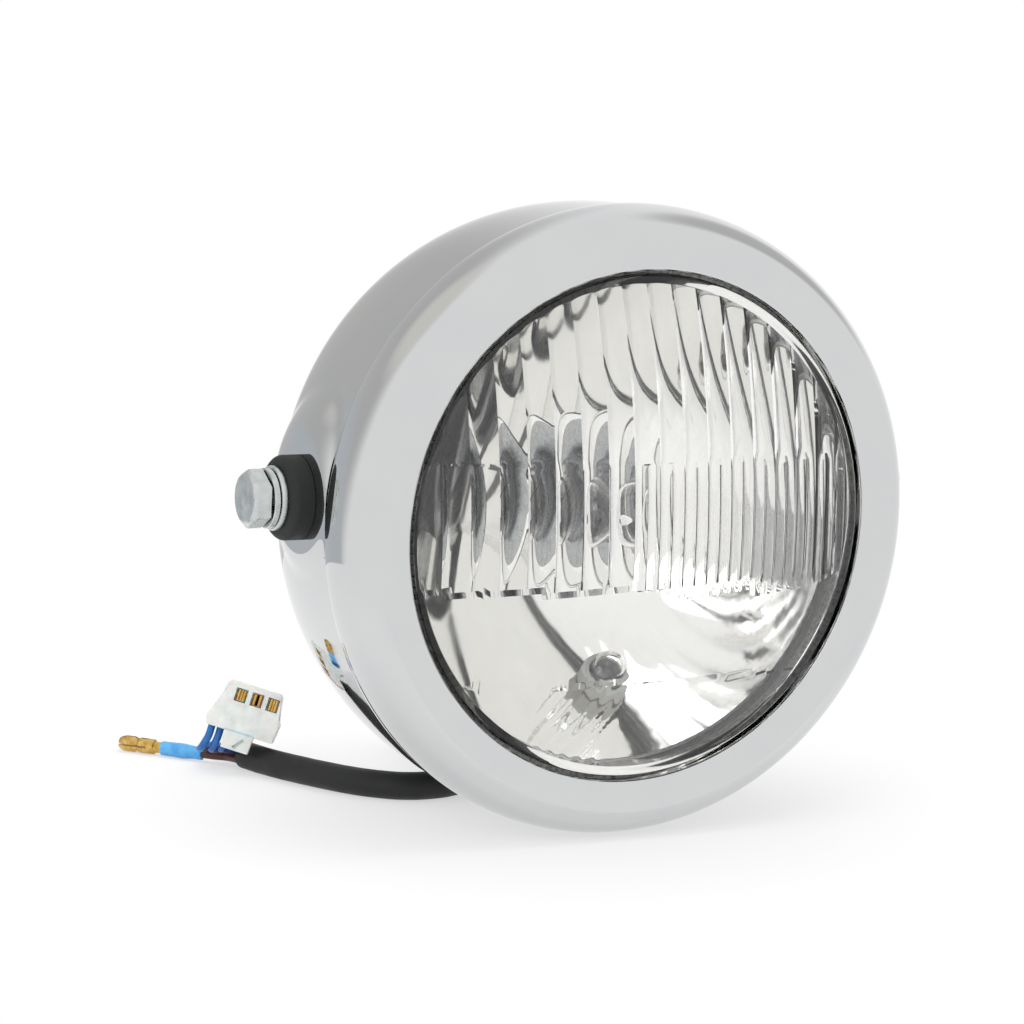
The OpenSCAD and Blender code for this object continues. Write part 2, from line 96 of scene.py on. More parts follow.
# --- wiring tail, route points in metres
ON_FLOOR = -0.0808
SLEEVE_ROUTE = [
    (0, 0.048969, -0.045418), (0, 0.054694, -0.04635), (0, 0.0625, -0.0477), (-0.0005, 0.0682, -0.0498),
    (-0.0015, 0.0726, -0.0535), (-0.0027, 0.0755, -0.0584), (-0.004, 0.0765, -0.0641),
    (-0.0055, 0.0755, -0.0698), (-0.007, 0.0726, -0.0749), (-0.0083, 0.068, -0.0787),
    (-0.0094, 0.0605, ON_FLOOR), (-0.01, 0.052, ON_FLOOR), (-0.0103, 0.044, ON_FLOOR),
    (-0.011, 0.037, ON_FLOOR), (-0.013, 0.0303, ON_FLOOR), (-0.017, 0.025, ON_FLOOR),
    (-0.023, 0.0215, ON_FLOOR), (-0.03, 0.0204, ON_FLOOR), (-0.037, 0.022, ON_FLOOR),
    (-0.043, 0.0266, ON_FLOOR), (-0.0478, 0.0326, ON_FLOOR), (-0.0516, 0.039, ON_FLOOR),
    (-0.055, 0.0456, ON_FLOOR), (-0.058, 0.0522, ON_FLOOR), (-0.0604, 0.0588, ON_FLOOR),
    (-0.062, 0.065, ON_FLOOR)]
BROWN_ROUTE = [
    (-0.0618, 0.0578, -0.0818), (-0.063598, 0.064588, -0.082), (-0.064222, 0.067008, -0.082),
    (-0.0652, 0.071, -0.08235), (-0.0678, 0.0731, -0.08235), (-0.07, 0.0756, -0.08235),
    (-0.07132, 0.0771, -0.08235)]
BLUE_ROUTES = {
    "blue_wire_a": [
        (-0.0591, 0.0585, -0.0818), (-0.060896, 0.065285, -0.0824), (-0.061446, 0.067415, -0.0824),
        (-0.0618, 0.0698, -0.0823), (-0.0642, 0.0736, -0.081), (-0.0674, 0.0743, -0.0798),
        (-0.0706, 0.0729, -0.0798), (-0.0732, 0.0698, -0.0794), (-0.0736, 0.0672, -0.0778),
        (-0.07262, 0.06586, -0.07497), (-0.071656, 0.06603, -0.072135)],
    "blue_wire_b": [
        (-0.0588, 0.0586, -0.0796), (-0.060586, 0.065365, -0.0799), (-0.061086, 0.067301, -0.0799),
        (-0.062, 0.069, -0.0797), (-0.0644, 0.0703, -0.0796), (-0.068, 0.0706, -0.0797),
        (-0.0706, 0.0684, -0.0794), (-0.0712, 0.066, -0.078), (-0.070625, 0.064656, -0.07557),
        (-0.069665, 0.06483, -0.072735)],
    "blue_wire_c": [
        (-0.0612, 0.0579, -0.0794), (-0.062988, 0.064745, -0.0793), (-0.063362, 0.066198, -0.0793),
        (-0.0642, 0.0675, -0.0794), (-0.0658, 0.0681, -0.0794), (-0.0677, 0.0676, -0.0793),
        (-0.0689, 0.0658, -0.0786), (-0.068634, 0.063456, -0.07617), (-0.067674, 0.06363, -0.073335)]}


# --- materials
def linear(text):
    """An sRGB hex colour as the linear colour that a socket takes."""
    parts = [int(text[i:i + 2], 16) / 255 for i in (1, 3, 5)]
    return tuple(c / 12.92 if c <= 0.04045 else ((c + 0.055) / 1.055) ** 2.4 for c in parts) + (1.0,)


def add(tree, kind, inputs=None, **settings):
    """A new node, with its settings, and its inputs as values or as links from other sockets."""
    node = tree.nodes.new(kind)
    for name, value in settings.items():
        setattr(node, name, value)
    for name, value in (inputs or {}).items():
        if isinstance(value, bpy.types.NodeSocket):
            tree.links.new(value, node.inputs[name])
        else:
            node.inputs[name].default_value = value
    return node


def finish_of(name, **values):
    """A material with one surface shader; values are its sockets' names with _ for a space."""
    material = bpy.data.materials.new(name)
    material.use_nodes = True
    tree = material.node_tree
    shader = next(n for n in tree.nodes if n.type == "BSDF_PRINCIPLED")
    for key, value in values.items():
        shader.inputs[key.replace("_", " ")].default_value = value
    place = add(tree, "ShaderNodeTexCoord")
    return material, tree, shader, place.outputs["Object"]


def coloured(ramp, first, last, *between):
    """Gives a colour ramp its stops, each a position and an sRGB hex colour; returns its colour."""
    for element, (position, text) in zip(ramp.color_ramp.elements, (first, last)):
        element.position = position
        element.color = linear(text)
    for position, text in between:
        ramp.color_ramp.elements.new(position).color = linear(text)
    return ramp.outputs[0]


def finished(material, tree, shader, roughness, colour, normal):
    """The material, once its roughness, colour and normal are on its shader."""
    for name, socket in (("Roughness", roughness), ("Base Color", colour), ("Normal", normal)):
        tree.links.new(socket, shader.inputs[name])
    return material


def chrome_plate():
    # Decorative chrome on polished steel: a bright, faintly blue mirror. Polishing leaves hair-fine
    # marks, drawn at 0.4 mm, and a faint waviness of the deep-drawn sheet some 18 mm long.
    material, tree, shader, place = finish_of("chrome_plate", Metallic=1.0)
    haze = add(tree, "ShaderNodeTexNoise", {"Vector": place, "Scale": 60.0, "Detail": 3.0})
    rough = add(tree, "ShaderNodeMapRange", {"Value": haze.outputs[0],
                "From Min": 0.35, "From Max": 0.75, "To Min": 0.015, "To Max": 0.05})
    tint = coloured(add(tree, "ShaderNodeValToRGB", {"Fac": haze.outputs[0]}), (0.0, "#CDCFD1"),
                    (1.0, "#D4D4D3"))
    wave = add(tree, "ShaderNodeTexNoise", {"Vector": place, "Scale": 28.0, "Detail": 0.0})
    marks = add(tree, "ShaderNodeTexNoise", {"Vector": place, "Scale": 2500.0, "Detail": 2.0})
    low = add(tree, "ShaderNodeBump", {"Height": wave.outputs[0], "Strength": 0.05, "Distance": 0.002})
    fine = add(tree, "ShaderNodeBump", {"Height": marks.outputs[0], "Strength": 0.02, "Distance": 0.0001,
                                        "Normal": low.outputs[0]})
    return finished(material, tree, shader, rough.outputs[0], tint, fine.outputs[0])


def speckled(name, dark, light, low, high, scale, bump_scale, bump_strength, **values):
    """A finish whose colour and roughness drift over a noise, with a fine grain on top."""
    material, tree, shader, place = finish_of(name, **values)
    drift = add(tree, "ShaderNodeTexNoise", {"Vector": place, "Scale": scale, "Detail": 4.0})
    tint = coloured(add(tree, "ShaderNodeValToRGB", {"Fac": drift.outputs[0]}), (0.3, dark), (0.7, light))
    rough = add(tree, "ShaderNodeMapRange", {"Value": drift.outputs[0], "From Min": 0.3, "From Max": 0.7,
                                             "To Min": low, "To Max": high})
    grain = add(tree, "ShaderNodeTexNoise", {"Vector": place, "Scale": bump_scale, "Detail": 3.0})
    bump = add(tree, "ShaderNodeBump", {"Height": grain.outputs[0], "Strength": bump_strength,
                                        "Distance": 0.0001})
    return finished(material, tree, shader, rough.outputs[0], tint, bump.outputs[0])


def clear_glass(name, colour, ripple, strength):
    """Glass: colourless soda-lime or quartz, with the faint ripple that its mould or drawing leaves."""
    material, tree, shader, place = finish_of(name, Base_Color=linear(colour), Roughness=0.0, IOR=1.5,
                                              Transmission_Weight=1.0)
    wave = add(tree, "ShaderNodeTexNoise", {"Vector": place, "Scale": ripple, "Detail": 2.0})
    bump = add(tree, "ShaderNodeBump", {"Height": wave.outputs[0], "Strength": strength, "Distance": 0.001})
    tree.links.new(bump.outputs[0], shader.inputs["Normal"])
    return material


def painted_shade_cap():
    # Nickelled brass of the bulb's cap: dark in the middle, inside the capsule, with painted shade, bright
    # round it, and dull again towards the edge of its flange. The rings are measured from the lamp axis.
    material, tree, shader, place = finish_of("nickel_with_painted_shade", Metallic=1.0)
    centred = add(tree, "ShaderNodeVectorMath", {0: place, 1: (0.0, 0.0, -AXIS_Z * MM)}, operation="ADD")
    flat = add(tree, "ShaderNodeVectorMath", {0: centred.outputs[0], 1: (1.0, 0.0, 1.0)},
               operation="MULTIPLY")
    radius = add(tree, "ShaderNodeVectorMath", {0: flat.outputs[0]}, operation="LENGTH").outputs["Value"]
    share = add(tree, "ShaderNodeMapRange", {"Value": radius, "From Min": 0.0, "From Max": 0.022})
    # The dark stops out to a radius of about 8 mm are painted shade inside the capsule.
    ring = coloured(add(tree, "ShaderNodeValToRGB", {"Fac": share.outputs[0]}), (0.0, "#26272A"),
                    (1.0, "#56585A"), (0.36, "#303235"), (0.41, "#8C8E8F"), (0.52, "#5E6062"),
                    (0.6, "#A9ABAB"), (0.9, "#B4B5B4"))
    spots = add(tree, "ShaderNodeTexNoise", {"Vector": place, "Scale": 500.0, "Detail": 3.0})
    rough = add(tree, "ShaderNodeMapRange", {"Value": spots.outputs[0], "From Min": 0.35, "From Max": 0.65,
                                             "To Min": 0.16, "To Max": 0.34})
    bump = add(tree, "ShaderNodeBump", {"Height": spots.outputs[0], "Strength": 0.06, "Distance": 0.0003})
    return finished(material, tree, shader, rough.outputs[0], ring, bump.outputs[0])


def aluminised_mirror():
    # Aluminium vapour on lacquered steel: a bright mirror under a thin clear coat that has yellowed
    # a little, with the soft waviness of the lacquer, 9 mm long, and a dusty haze.
    material, tree, shader, place = finish_of("aluminised_lacquer", Metallic=1.0)
    haze = add(tree, "ShaderNodeTexNoise", {"Vector": place, "Scale": 45.0, "Detail": 5.0})
    tint = coloured(add(tree, "ShaderNodeValToRGB", {"Fac": haze.outputs[0]}), (0.0, "#ECEBE7"),
                    (1.0, "#F5F5F3"))
    rough = add(tree, "ShaderNodeMapRange", {"Value": haze.outputs[0], "From Min": 0.35, "From Max": 0.75,
                                             "To Min": 0.03, "To Max": 0.09})
    wave = add(tree, "ShaderNodeTexNoise", {"Vector": place, "Scale": 110.0, "Detail": 1.0})
    bump = add(tree, "ShaderNodeBump", {"Height": wave.outputs[0], "Strength": 0.03, "Distance": 0.0004})
    return finished(material, tree, shader, rough.outputs[0], tint, bump.outputs[0])


chrome = chrome_plate()
# Bright zinc plate with a clear passivation on cold-forged steel: a blue-grey satin metal with clouds
# some 3 mm wide and fine forging texture.
zinc = speckled("zinc_plated_steel", "#B9C0C1", "#DADCD8", 0.2, 0.36, 350.0, 2200.0, 0.25, Metallic=1.0)
# Hardened strip and wire, plain and lightly oiled: a darker, even grey.
spring_steel = speckled("hardened_spring_steel", "#8D8F90", "#A9ABAB", 0.25, 0.4, 400.0, 2500.0, 0.15,
                        Metallic=1.0)
# Pressed soda-lime glass: nearly colourless, with a ripple from the mould about 7 mm long.
lens_glass = clear_glass("pressed_lens_glass", "#FFFFFF", 140.0, 0.02)
# Quartz drawn to a tube: colourless and almost without a ripple.
quartz = clear_glass("drawn_quartz", "#FFFFFF", 300.0, 0.01)
mirror = aluminised_mirror()
# The bulb's cap, with painted shade in its middle.
painted_shade_nickel = painted_shade_cap()
# Moulded EPDM: nearly black with a matt bloom and a grain of about 0.5 mm.
black_rubber = speckled("moulded_black_rubber", "#0F1211", "#1C201E", 0.55, 0.75, 250.0, 2000.0, 0.3)
# Cured grey bonding bead, squeezed out unevenly, with glints; the seal under the rim's lip is as pale.
sealant = speckled("cured_sealant", "#6E706D", "#D6D7D3", 0.15, 0.55, 900.0, 1300.0, 0.9)
# Drawn wire and its posts, dulled by heat.
tungsten = speckled("drawn_tungsten", "#55565A", "#77787B", 0.35, 0.5, 800.0, 3000.0, 0.2, Metallic=1.0)
# Nylon filled with carbon black, with the grain of its mould.
black_nylon = speckled("moulded_black_nylon", "#141415", "#202022", 0.35, 0.5, 300.0, 1800.0, 0.15)
# Soft white rubber of the small bulb's holder, smooth from a polished mould.
white_rubber = speckled("moulded_white_rubber", "#D9DAD3", "#ECEDE8", 0.35, 0.5, 200.0, 1200.0, 0.1,
                        Subsurface_Weight=0.2, Subsurface_Scale=0.001)
# Extruded soft vinyl: the sleeve has a satin skin with slight drawing marks and dust, and the wires are
# glossier.
black_pvc = speckled("extruded_black_vinyl", "#060708", "#101213", 0.42, 0.6, 160.0, 1500.0, 0.3)
brown_pvc = speckled("extruded_brown_vinyl", "#3E1F17", "#5A3024", 0.25, 0.4, 300.0, 1800.0, 0.12)
blue_pvc = speckled("extruded_blue_vinyl", "#0F4F93", "#2273BF", 0.25, 0.4, 300.0, 1800.0, 0.12)
light_blue_pvc = speckled("soft_light_blue_vinyl", "#3C97D6", "#63B4EA", 0.2, 0.35, 400.0, 1500.0, 0.15,
                          Subsurface_Weight=0.2, Subsurface_Scale=0.001)
# Stamped and turned brass, bright, with the grain of the rolled strip.
brass = speckled("bright_stamped_brass", "#B98F45", "#E3C275", 0.18, 0.36, 700.0, 2600.0, 0.2, Metallic=1.0)
# Unfilled polyamide, injection moulded: milky and a little translucent, glossy with soft flow marks.
nylon = speckled("natural_nylon", "#DCE0DC", "#F1F3F0", 0.25, 0.4, 300.0, 1800.0, 0.08,
                 Subsurface_Weight=0.5, Subsurface_Scale=0.0015, IOR=1.53)


# --- making pieces
def piece(name, mesh, material, nodes, sharp=30):
    """A finished piece from a mesh in metres: smooth, riding on the one body, for its CAD nodes."""
    obj = bpy.data.objects.new(name, mesh)
    bpy.context.scene.collection.objects.link(obj)
    mesh.materials.clear()
    mesh.materials.append(material)
    mesh.shade_smooth()
    mesh.set_sharp_from_angle(angle=math.radians(sharp))
    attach(obj, "root")
    if nodes:
        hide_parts(*nodes)
    return obj


def mesh_of(bm, name, place, recalc=True):
    """The mesh of a bmesh drawn in millimetres in a local frame."""
    bmesh.ops.remove_doubles(bm, verts=bm.verts, dist=1e-4)
    if recalc:
        bmesh.ops.recalc_face_normals(bm, faces=bm.faces)
    bm.transform(Matrix.Scale(MM, 4) @ place)
    mesh = bpy.data.meshes.new(name)
    bm.to_mesh(mesh)
    bm.free()
    return mesh


def rounded(outline, arc=5):
    """Outline points (radius, height, fillet): each corner with a fillet becomes a small curve."""
    points = []
    count = len(outline)
    for i, corner in enumerate(outline):
        here = Vector(corner[:2])
        fillet = corner[2] if len(corner) > 2 else 0
        if not fillet:
            points.append(here)
            continue
        before = Vector(outline[i - 1][:2]) - here
        after = Vector(outline[(i + 1) % count][:2]) - here
        start = here + before.normalized() * min(fillet, before.length * 0.48)
        end = here + after.normalized() * min(fillet, after.length * 0.48)
        for k in range(arc + 1):
            t = k / arc
            points.append(start * (1 - t) ** 2 + here * 2 * t * (1 - t) + end * t ** 2)
    return points


def turn(bm, outline, steps=128, closed=True):
    """Spins an outline of (radius, height) about Z; points on the axis become poles."""
    rings = []
    for radius, height in outline:
        if radius < 1e-6:
            rings.append([bm.verts.new((0, 0, height))])
            continue
        rings.append([bm.verts.new((radius * math.cos(a), radius * math.sin(a), height))
                      for a in (2 * math.pi * k / steps for k in range(steps))])
    pairs = list(zip(rings, rings[1:] + rings[:1])) if closed else list(zip(rings, rings[1:]))
    for low, high in pairs:
        for k in range(steps):
            m = (k + 1) % steps
            corners = [low[k % len(low)], low[m % len(low)], high[m % len(high)], high[k % len(high)]]
            corners = [v for i, v in enumerate(corners) if v not in corners[:i]]
            if len(corners) > 2:
                bm.faces.new(corners)


def join(bm, low, high):
    """Faces between two rings of the same number of points."""
    for k in range(len(low)):
        m = (k + 1) % len(low)
        bm.faces.new((low[k], low[m], high[m], high[k]))


def prism(bm, outline, back, front):
    """A closed prism of an outline of (x, y), from the depth back to the depth front."""
    low = [bm.verts.new((x, y, back)) for x, y in outline]
    high = [bm.verts.new((x, y, front)) for x, y in outline]
    bm.faces.new(low[::-1])
    bm.faces.new(high)
    join(bm, low, high)


def turned(name, outline, place, material, nodes, steps=128, sharp=30):
    """A turned piece, such as a washer, a collar or a bulb."""
    bm = bmesh.new()
    turn(bm, outline, steps)
    return piece(name, mesh_of(bm, name, place), material, nodes, sharp)


# --- chrome rim and bucket
def rim_side(inset, steps=28):
    """The rim's rounded side, a quarter of an ellipse from the crease to the widest ring."""
    return [(CREASE_R + (RIM_R - CREASE_R - inset) * math.sin(a), 12.5 - (13.9 - inset) * math.cos(a))
            for a in (math.pi / 2 * k / steps for k in range(steps + 1))]


def make_rim():
    front = rounded([(64, 5.5, 0.4), (64, 0, 1.0), (71.3, -1.37, 0.0)])[:-1]
    outside = rim_side(0)
    inside = rim_side(SHEET)[::-1]
    outline = ([Vector((64.9, 5.5))] + front
               + [Vector((66.5, -0.62)), Vector((69, -1.0)), Vector((71.2, -1.34)), Vector((71.55, -1.42))]
               + [Vector(p) for p in outside]
               + [Vector((79.47, 13.6)), Vector((79.35, 14.8)), Vector((79.15, 16.2)), Vector((78.95, 17.0)),
                  Vector((78.8, 17.2)), Vector((78.05, 17.2)), Vector((78, 15.6))]
               + [Vector(p) for p in inside] + [Vector((65.4, 0.65)), Vector((64.9, 1.3))])
    turned("rim", outline, LAMP, chrome, ["rim"], steps=320, sharp=35)


def bucket_radius(depth):
    if depth <= RIM_BACK:
        return BUCKET_R
    return BUCKET_R * (1 - ((depth - RIM_BACK) / BUCKET_DEPTH) ** BUCKET_POWER) ** (1 / BUCKET_POWER)


def boss_height(y, z):
    """Distance of the shell from the middle plane near a side bolt: bucket and flare, softly joined."""
    radius = bucket_radius(y - OPENING_Y)
    bucket = math.sqrt(radius ** 2 - (z - AXIS_Z) ** 2)
    flare = BOSS_X - 10.5 * (max(0.0, math.hypot(y, z) - 13.5) / 16.5) ** 1.6
    soft = 0.8
    h = min(1.0, max(0.0, 0.5 + 0.5 * (flare - bucket) / soft))
    sunk = 0.03 * min(1.0, max(0.0, (bucket - soft - flare) / 0.5))
    return bucket * (1 - h) + flare * h + soft * h * (1 - h) - sunk


def make_shell():
    def arc(radius, depth, steps=64):
        power = 2 / BUCKET_POWER
        return [(radius * math.cos(a) ** power, RIM_BACK + depth * math.sin(a) ** power)
                for a in (math.pi / 2 * k / steps for k in range(1, steps))]

    bm = bmesh.new()
    outline = [(78 - SHEET, 10), (78, 10), (78, 17.1), (BUCKET_R, 17.3)] + arc(BUCKET_R, BUCKET_DEPTH)
    outline += [(0, RIM_BACK + BUCKET_DEPTH), (0, RIM_BACK + BUCKET_DEPTH - 1)]
    outline += arc(BUCKET_R - 1, BUCKET_DEPTH - 1)[::-1] + [(78 - SHEET, 17)]
    turn(bm, outline, steps=256)
    bmesh.ops.recalc_face_normals(bm, faces=bm.faces)
    bm.transform(LAMP)
    for side in (-1, 1):
        bosses = bmesh.new()
        rings = []
        for sink in (0, 0.9):
            for k in range(41) if not sink else range(40, -1, -1):
                ring = []
                for j in range(144):
                    a = 2 * math.pi * j / 144
                    reach = BOSS_LENGTH
                    if math.cos(a) < 0:
                        reach = min(reach, FRONT_REACH / -math.cos(a))
                    rho = HOLE_R + (reach - HOLE_R) * k / 40
                    y, z = rho * math.cos(a), rho * math.sin(a)
                    ring.append(bosses.verts.new((side * (boss_height(y, z) - sink), y, z)))
                rings.append(ring)
        for low, high in zip(rings, rings[1:] + rings[:1]):
            join(bosses, low, high)
        bmesh.ops.recalc_face_normals(bosses, faces=bosses.faces)
        part = bpy.data.meshes.new("boss")
        bosses.to_mesh(part)
        bosses.free()
        bm.from_mesh(part)
        bpy.data.meshes.remove(part)
    piece("shell", mesh_of(bm, "shell", Matrix.Identity(4), recalc=False), chrome, ["shell"], 40)


make_rim()
make_shell()


# --- lens
LEAN = math.radians(1.75)
BAND_TOP = 17.0
FIELD_LOW = -14.2
LOW_LINE = -38.0
FLUTE = 6.9


def lens_columns():
    """Places of the mesh's columns across the lens: twenty to a flute, and closer together at the rims."""
    step = FLUTE / 20
    reach = int(55 / step)
    middle = [i * step for i in range(-reach, reach + 1)]
    end = math.asin(reach * step / FIELD_R)
    edge = [FIELD_R * math.sin(end + (math.pi / 2 - end) * k / 18) for k in range(1, 19)]
    return [-x for x in edge[::-1]] + middle + edge


def lens_rows(u):
    """Heights of the mesh's rows in one column, with close pairs where the flute fields change."""
    chord = math.sqrt(max(0.0, FIELD_R ** 2 - u ** 2))
    levels = [FIELD_R, BAND_TOP + 0.25, BAND_TOP - 0.25, FIELD_LOW + 0.3, FIELD_LOW - 0.05, LOW_LINE + 0.3,
              LOW_LINE - 0.05, -FIELD_R]
    counts = [30, 2, 20, 2, 14, 2, 16]
    tilt = u * math.tan(LEAN)
    marks = [chord] + [level + tilt for level in levels[1:-1]] + [-chord]
    low, high = -chord, chord
    spans = []
    previous = high
    for mark in marks[1:]:
        mark = min(max(mark, low), previous)
        spans.append(previous - mark)
        previous = mark
    least = 0.004 * chord
    spans = [max(s, least * n) for s, n in zip(spans, counts)]
    scale = 2 * chord / sum(spans) if chord else 0
    rows, w = [chord], chord
    for span, count in zip(spans, counts):
        for _ in range(count):
            w -= span * scale / count
            rows.append(w)
    return rows


def lens_blank():
    """The unfluted glass as one closed mesh in the lamp frame; hollow marks the face that gets flutes."""
    columns = lens_columns()
    grid = [[(u * math.cos(LEAN) - w * math.sin(LEAN), u * math.sin(LEAN) + w * math.cos(LEAN))
             for w in lens_rows(u)] for u in columns]
    bm = bmesh.new()
    hollow = bm.verts.layers.float.new("hollow")
    outer_r = 61.0

    def dome(x, up, radius):
        return DOME_MID - math.sqrt(radius ** 2 - x * x - up * up)

    def face(scale, radius, mark):
        verts = []
        for column in grid:
            line = []
            for x, up in column:
                v = bm.verts.new((x * scale, -up * scale, dome(x * scale, up * scale, radius)))
                v[hollow] = mark
                line.append(v)
            verts.append(line)
        last = len(verts) - 1
        verts[0] = [verts[0][0]] * len(verts[0])
        verts[last] = [verts[last][0]] * len(verts[last])
        for a, b in zip(verts, verts[1:]):
            for k in range(len(a) - 1):
                corners = [a[k], a[k + 1], b[k + 1], b[k]]
                corners = [v for i, v in enumerate(corners) if v not in corners[:i]]
                bm.faces.new(corners)
        return [line[0] for line in verts] + [line[-1] for line in verts[-2:0:-1]]

    outside = face(outer_r / FIELD_R, DOME_R, 0.0)
    inside = face(1.0, DOME_R - GLASS, 1.0)
    for v in [v for v in bm.verts if not v.link_faces]:
        bm.verts.remove(v)
    profile = rounded([(61.6, 0.25), (63.2, 1.2, 2.2), (63.2, 7, 0.5), (66.6, 7, 0.6), (66.6, 10.2, 0.4),
                       (FIELD_R, 10.2)])
    rings = [outside]
    for radius, depth in profile:
        ring = []
        for v in inside:
            length = math.hypot(v.co.x, v.co.y)
            ring.append(bm.verts.new((v.co.x / length * radius, v.co.y / length * radius, depth)))
        rings.append(ring)
    rings.append(inside)
    for low, high in zip(rings, rings[1:]):
        join(bm, low, high)
    for v in [v for v in bm.verts if not v.link_faces]:
        bm.verts.remove(v)
    bmesh.ops.recalc_face_normals(bm, faces=bm.faces)
    bm.transform(Matrix.Scale(MM, 4) @ LAMP)
    mesh = bpy.data.meshes.new("lens_blank")
    bm.to_mesh(mesh)
    bm.free()
    return mesh


def flute_tree(material):
    """Geometry nodes that press the flutes into the back of the glass, by their real sizes."""
    tree = bpy.data.node_groups.new("pressed_flutes", "GeometryNodeTree")
    face = tree.interface
    face.new_socket("Geometry", in_out="INPUT", socket_type="NodeSocketGeometry")
    sizes = {"Flute Width": FLUTE, "Flute Rise": 0.7, "Deep Rise": 0.95, "Fine Rise": 0.42,
             "Band Top": BAND_TOP, "Field Bottom": FIELD_LOW, "Fine From": -FLUTE, "Low Line": LOW_LINE,
             "Step": 0.25, "Rib Width": 3.6, "Rib Rise": 0.22, "Lean": LEAN}
    for name, value in sizes.items():
        socket = face.new_socket(name, in_out="INPUT", socket_type="NodeSocketFloat")
        socket.default_value = value
    face.new_socket("Geometry", in_out="OUTPUT", socket_type="NodeSocketGeometry")
    inputs = add(tree, "NodeGroupInput")
    output = add(tree, "NodeGroupOutput")

    def calc(operation, a, b=0.0, c=0.0):
        return add(tree, "ShaderNodeMath", {0: a, 1: b, 2: c}, operation=operation).outputs[0]

    def over(value, low, high):
        return add(tree, "ShaderNodeMapRange", {"Value": value, "From Min": low, "From Max": high},
                   interpolation_type="SMOOTHSTEP").outputs[0]

    def crest(place, width, rise):
        share = calc("FRACT", calc("DIVIDE", place, width))
        return calc("MULTIPLY", calc("MULTIPLY", share, calc("SUBTRACT", 1.0, share)),
                    calc("MULTIPLY", rise, 4.0))

    given = {name: inputs.outputs[name] for name in sizes}
    place = add(tree, "ShaderNodeSeparateXYZ", {0: add(tree, "GeometryNodeInputPosition").outputs[0]})
    x = calc("MULTIPLY", place.outputs["X"], 1 / MM)
    up = calc("MULTIPLY_ADD", place.outputs["Z"], 1 / MM, float(-AXIS_Z))
    across = calc("ADD", calc("MULTIPLY", x, calc("COSINE", given["Lean"])),
                  calc("MULTIPLY", up, calc("SINE", given["Lean"])))
    wide = crest(across, given["Flute Width"], given["Flute Rise"])
    deep = crest(across, given["Flute Width"], given["Deep Rise"])
    fine = crest(across, calc("DIVIDE", given["Flute Width"], 2.0), given["Fine Rise"])
    right = over(across, calc("SUBTRACT", given["Fine From"], 0.05), calc("ADD", given["Fine From"], 0.05))
    band = calc("ADD", calc("MULTIPLY", fine, right),
                calc("MULTIPLY", deep, calc("SUBTRACT", 1.0, right)))
    above = over(up, calc("SUBTRACT", given["Band Top"], 0.24), calc("ADD", given["Band Top"], 0.24))
    fluted = over(up, calc("SUBTRACT", given["Field Bottom"], 0.04),
                  calc("ADD", given["Field Bottom"], 0.28))
    field = calc("ADD", calc("MULTIPLY", wide, above), calc("MULTIPLY", band, calc("SUBTRACT", 1.0, above)))
    below = over(up, calc("ADD", given["Low Line"], 0.28), calc("SUBTRACT", given["Low Line"], 0.04))
    slanted = calc("ADD", calc("MULTIPLY", x, 0.8), calc("MULTIPLY", up, -0.6))
    ribs = crest(slanted, given["Rib Width"], given["Rib Rise"])
    patch = calc("MULTIPLY", over(x, -30.0, -25.0), over(x, -4.0, -9.0))
    low = calc("MULTIPLY", below, calc("ADD", given["Step"], calc("MULTIPLY", ribs, patch)))
    height = calc("ADD", calc("MULTIPLY", field, fluted), low)
    mark = add(tree, "GeometryNodeInputNamedAttribute", {"Name": "hollow"}, data_type="FLOAT").outputs[0]
    push = add(tree, "ShaderNodeCombineXYZ", {"Y": calc("MULTIPLY", calc("MULTIPLY", height, mark), MM)})
    moved = add(tree, "GeometryNodeSetPosition", {"Geometry": inputs.outputs["Geometry"],
                                                  "Offset": push.outputs[0]})
    real = add(tree, "GeometryNodeRealizeInstances", {0: moved.outputs[0]})
    dressed = add(tree, "GeometryNodeSetMaterial", {"Geometry": real.outputs[0], "Material": material})
    tree.links.new(dressed.outputs[0], output.inputs[0])
    return tree


def baked(name, mesh, tree, inputs=None, wall=0.0):
    """The plain mesh that a tree makes of a mesh, with a wall if it is left open; its object goes."""
    source = bpy.data.objects.new(name + "_source", mesh)
    bpy.context.scene.collection.objects.link(source)
    modifier = source.modifiers.new("nodes", "NODES")
    modifier.node_group = tree
    for item in tree.interface.items_tree:
        if item.in_out == "INPUT" and item.name in (inputs or {}):
            modifier[item.identifier] = inputs[item.name]
    if wall:
        thick = source.modifiers.new("wall", "SOLIDIFY")
        thick.thickness = wall
        thick.offset = -1
    evaluated = source.evaluated_get(bpy.context.evaluated_depsgraph_get())
    result = bpy.data.meshes.new_from_object(evaluated)
    bpy.data.objects.remove(source)
    result.name = name
    return result


def make_lens():
    mesh = baked("lens", lens_blank(), flute_tree(lens_glass))
    piece("lens", mesh, lens_glass, ["lens"], sharp=14)


make_lens()


# --- mirror and bulbs
def mirror_depth(radius):
    """Depth of the paraboloid behind the rim's opening at a radius."""
    return MIRROR_BACK - radius ** 2 / (4 * FOCAL)


def make_reflector():
    front = [(r, mirror_depth(r)) for r in (59.8 - 37.4 * k / 60 for k in range(61))]
    behind = [(r + 0.8, d + 0.72) for r, d in front[::-1]]
    outline = [(69.8, 6), (66.8, 6), (66.8, 10.25), (60.2, 10.25)] + front
    outline += [(22.1, mirror_depth(22.1) + 0.25), (22, 47.2), (22, 55), (19.2, 55), (19.2, 55.8),
                (22.8, 55.8), (22.8, 48.5)]
    outline += behind + [(67.6, 11.05), (67.6, 6.8), (69.8, 6.8)]
    turned("reflector", outline, LAMP, mirror, ["reflector"], steps=256, sharp=30)


def capsule(extra, low, high, steps=24):
    """Round-nosed tube outline of the bulb, from its nose back."""
    radius = CAPSULE_R + extra
    return [(radius * math.sin(a), CAPSULE_NOSE - extra + radius * (1 - math.cos(a)))
            for a in (math.radians(low + (high - low) * k / steps) for k in range(steps + 1))]


